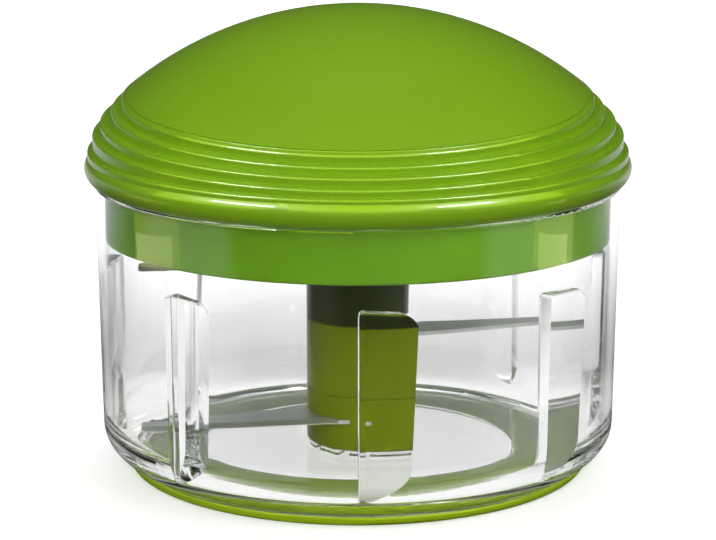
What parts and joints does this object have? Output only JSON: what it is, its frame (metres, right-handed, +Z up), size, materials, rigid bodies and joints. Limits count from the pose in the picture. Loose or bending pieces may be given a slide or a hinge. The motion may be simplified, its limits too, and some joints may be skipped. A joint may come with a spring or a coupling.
{
  "type": "pull-cord food chopper",
  "caption": "Pull-cord food chopper: a clear ribbed bowl with a staggered-blade hub, closed by a domed lid whose cord drum spins the blades when the handle is pulled.",
  "frame": {"origin": "centre of the non-slip ring's underside, on the axis of the bowl and the blade unit", "axes": "+Z up along the blade axis; -Y is the front of the object as pictured; +Y points to the pull handle at the back; +X to the right seen from the front"},
  "size_m": [0.1306, 0.1304, 0.11],
  "materials": {
    "clear_plastic": "clear, glossy",
    "soft_lime": "satin",
    "steel": "satin",
    "blade_steel": "brushed",
    "spring_steel": "polished",
    "hub_green": "translucent, glossy",
    "lid_green": "glossy",
    "cover_green": "satin",
    "bearing_white": "matt",
    "cord": "braided"
  },
  "bodies": {
    "bowl_body": {"bowl": "clear_plastic", "base_ring": "soft_lime", "pivot_pin": "steel"},
    "blade_unit": {"hub_foot": "hub_green", "hub_middle": "hub_green", "hub_top": "hub_green", "spindle_core": "hub_green", "blade_lower": "blade_steel", "blade_middle": "blade_steel", "blade_upper": "blade_steel"},
    "lid_body": {"lid_shell": "lid_green", "inner_cover": "cover_green", "cover_screws": "steel", "axle": "steel", "axle_clip": "steel", "axle_washer": "steel", "drum_washer": "steel", "cord_eyelet": "bearing_white", "recoil_spring": "spring_steel"},
    "drum_body": {"cord_drum": "bearing_white", "spring_cover": "bearing_white", "cord_winding": "cord"},
    "socket_body": {"drive_socket": "bearing_white", "clutch_spring": "spring_steel"},
    "dog_body": {"clutch_dog": "bearing_white"},
    "handle_body": {"handle_grip": "lid_green", "handle_liner": "cover_green", "cord_knot": "cord", "cord_lead": "cord"}
  },
  "joints": [
    {"name": "lid_lift", "type": "slide", "parent": "bowl_body", "child": "lid_body", "axis": [0, 0, 1], "range_m": [0, 0.12]},
    {"name": "handle_pull", "type": "slide", "parent": "lid_body", "child": "handle_body", "axis": [0, 1, 0], "range_m": [0, 0.2793], "stiffness_N_per_m": 18, "springref_m": -0.3, "deforming": ["cord_lead"]},
    {"name": "drum_spin", "type": "hinge", "parent": "lid_body", "child": "drum_body", "pos_m": [0, 0, 0.08], "axis": [0, 0, 1], "range_deg": [0, 1085], "deforming": ["recoil_spring"]},
    {"name": "socket_spin", "type": "hinge", "parent": "lid_body", "child": "socket_body", "pos_m": [0, 0, 0.06], "axis": [0, 0, 1], "range_deg": [0, 1085]},
    {"name": "clutch_slide", "type": "slide", "parent": "socket_body", "child": "dog_body", "axis": [0, 0, -1], "range_m": [0, 0.00115], "stiffness_N_per_m": 150, "springref_m": -0.004, "deforming": ["clutch_spring"]},
    {"name": "blade_spin", "type": "hinge", "parent": "bowl_body", "child": "blade_unit", "pos_m": [0, 0, 0.02], "axis": [0, 0, 1], "range_deg": [0, 1085]}
  ],
  "couplings": [
    {"joint": "drum_spin", "follows": "handle_pull", "rad_per_m": 67.476},
    {"joint": "socket_spin", "follows": "handle_pull", "rad_per_m": 67.476},
    {"joint": "blade_spin", "follows": "handle_pull", "rad_per_m": 67.476}
  ]
}
